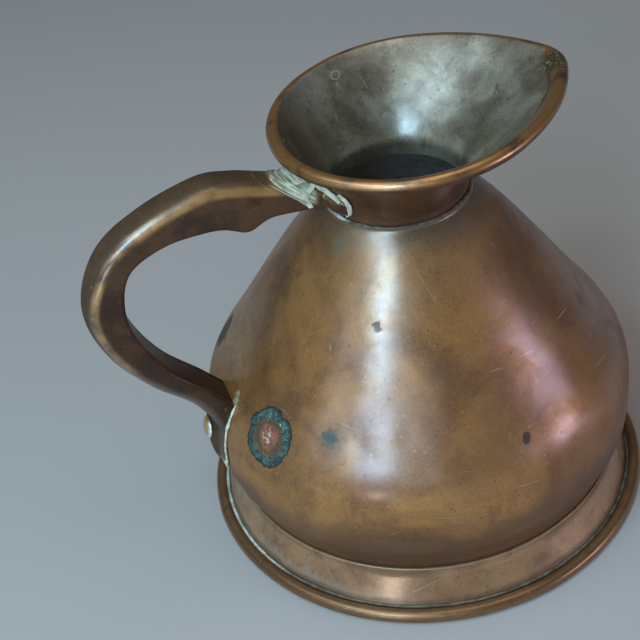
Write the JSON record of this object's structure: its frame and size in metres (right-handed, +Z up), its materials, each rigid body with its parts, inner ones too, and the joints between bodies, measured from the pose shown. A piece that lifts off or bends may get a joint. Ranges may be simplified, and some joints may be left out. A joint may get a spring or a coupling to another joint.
{
  "type": "measuring jug",
  "caption": "Copper measuring jug with a bulged cone body on a flared foot, a spouted mouth with a wired rim, and a hollow handle riveted to the belly.",
  "frame": {"origin": "on the surface that the foot stands on, under the middle of the jug's length from handle to foot edge", "axes": "+Z up, +X towards the spout, handle at -X; the jug is the same on both sides of the XZ plane"},
  "size_m": [0.2904, 0.246, 0.2405],
  "materials": {
    "body_copper": "aged copper, brown patina, satin",
    "base_copper": "aged copper, dull",
    "foot_copper": "aged copper, rubbed brighter on the bead",
    "mouth_copper": "aged copper outside, worn tin inside",
    "handle_copper": "dark aged copper, rubbed golden on the crown",
    "strap_copper": "dark aged copper",
    "rivet_copper": "rubbed copper",
    "wire": "plain iron wire",
    "solder": "dull soft solder with a pale green bloom"
  },
  "bodies": {
    "root": {"body_shell": "body_copper", "base_pan": "base_copper", "foot_skirt": "foot_copper", "foot_wire": "wire", "mouth_funnel": "mouth_copper", "rim_wire": "wire", "handle_shell": "handle_copper", "handle_strap": "strap_copper", "handle_saddle": "handle_copper", "handle_rivet": "rivet_copper", "rivet_burr": "rivet_copper", "neck_solder": "solder", "foot_solder": "solder", "base_solder": "solder", "handle_top_solder": "solder", "handle_leaf_solder": "solder"}
  },
  "joints": []
}
